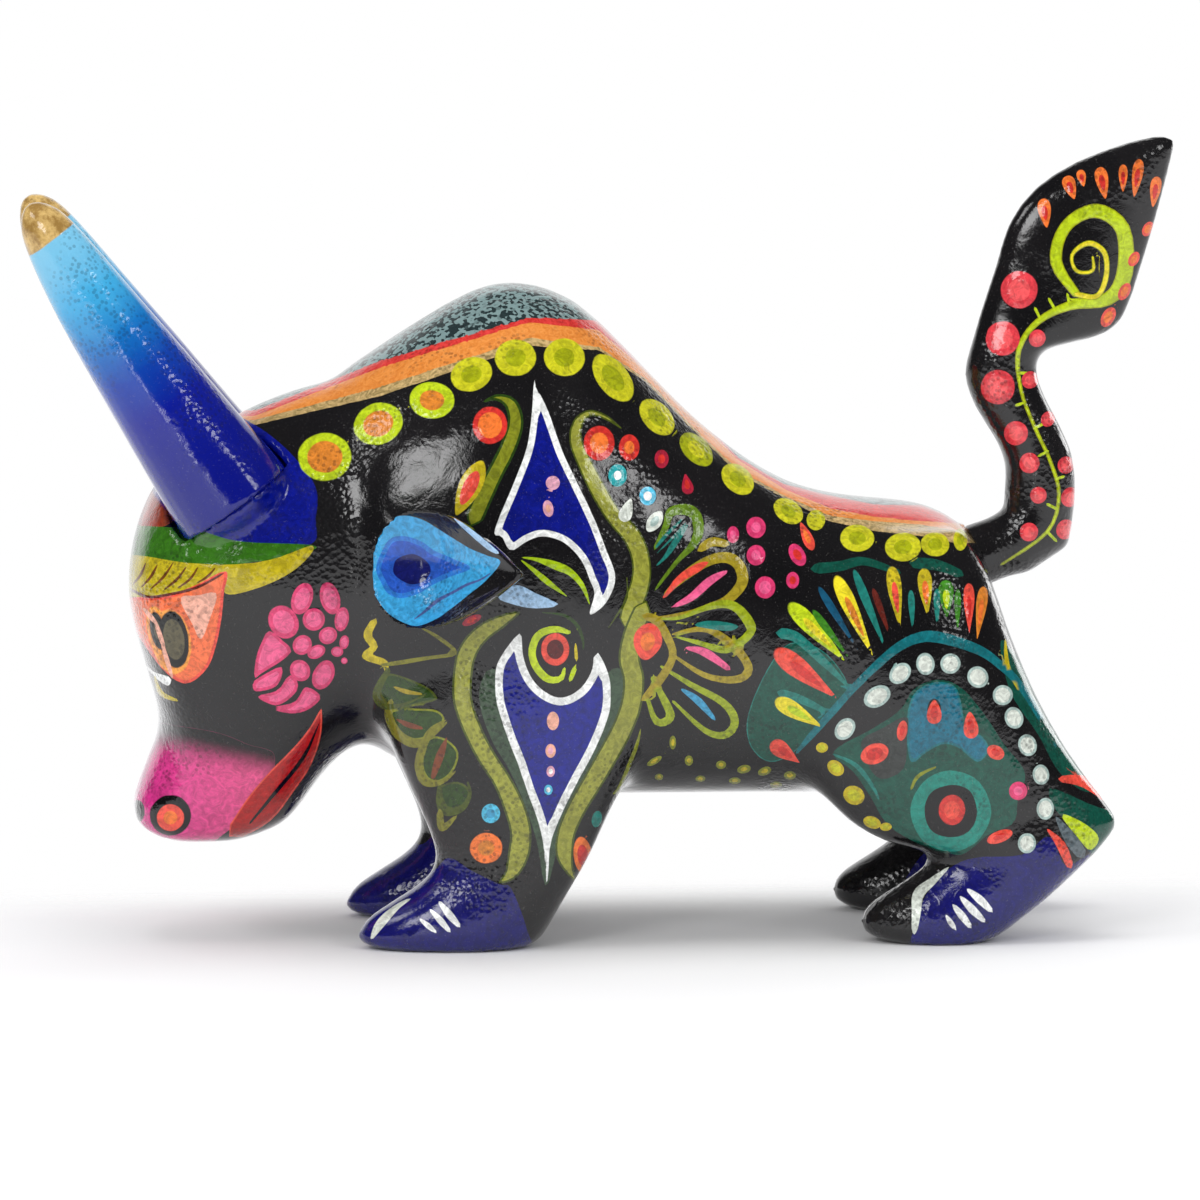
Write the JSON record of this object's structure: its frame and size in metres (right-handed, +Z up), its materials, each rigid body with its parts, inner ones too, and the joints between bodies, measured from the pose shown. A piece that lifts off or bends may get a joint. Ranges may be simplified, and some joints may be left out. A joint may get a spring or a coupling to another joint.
{
  "type": "carved animal figure",
  "caption": "Carved and painted wooden bull figure with plug-in curved horns, dished ears and a wavy leaf-tipped tail, for display on a shelf.",
  "frame": {"origin": "on the ground under the middle of the whole figure", "axes": "+X from the head to the tail, +Y to the bull's right, +Z up"},
  "size_m": [0.2544, 0.1244, 0.175],
  "materials": {
    "body_lacquer": "gloss lacquer over hand-painted black",
    "horn_lacquer": "gloss lacquer over shaded blue, with a gold tip",
    "ear_lacquer": "gloss lacquer over light blue, black behind",
    "tail_lacquer": "gloss lacquer over hand-painted black",
    "bare_peg": "bare, whittled"
  },
  "bodies": {
    "block": {"body": "body_lacquer"},
    "left_horn_piece": {"left_horn": "horn_lacquer", "left_horn_peg": "bare_peg"},
    "right_horn_piece": {"right_horn": "horn_lacquer", "right_horn_peg": "bare_peg"},
    "left_ear_piece": {"left_ear": "ear_lacquer", "left_ear_peg": "bare_peg"},
    "right_ear_piece": {"right_ear": "ear_lacquer", "right_ear_peg": "bare_peg"},
    "tail_piece": {"tail": "tail_lacquer", "tail_peg": "bare_peg"}
  },
  "joints": [
    {"name": "left_horn_pull", "type": "slide", "parent": "block", "child": "left_horn_piece", "axis": [-0.5878, 0, 0.809], "range_m": [0, 0.03]},
    {"name": "right_horn_pull", "type": "slide", "parent": "block", "child": "right_horn_piece", "axis": [-0.5878, 0, 0.809], "range_m": [0, 0.03]},
    {"name": "left_ear_pull", "type": "slide", "parent": "block", "child": "left_ear_piece", "axis": [0.3746, -0.9272, 0], "range_m": [0, 0.02]},
    {"name": "right_ear_pull", "type": "slide", "parent": "block", "child": "right_ear_piece", "axis": [0.3746, 0.9272, 0], "range_m": [0, 0.02]},
    {"name": "tail_pull", "type": "slide", "parent": "block", "child": "tail_piece", "axis": [0.9397, 0, 0.342], "range_m": [0, 0.03]}
  ]
}
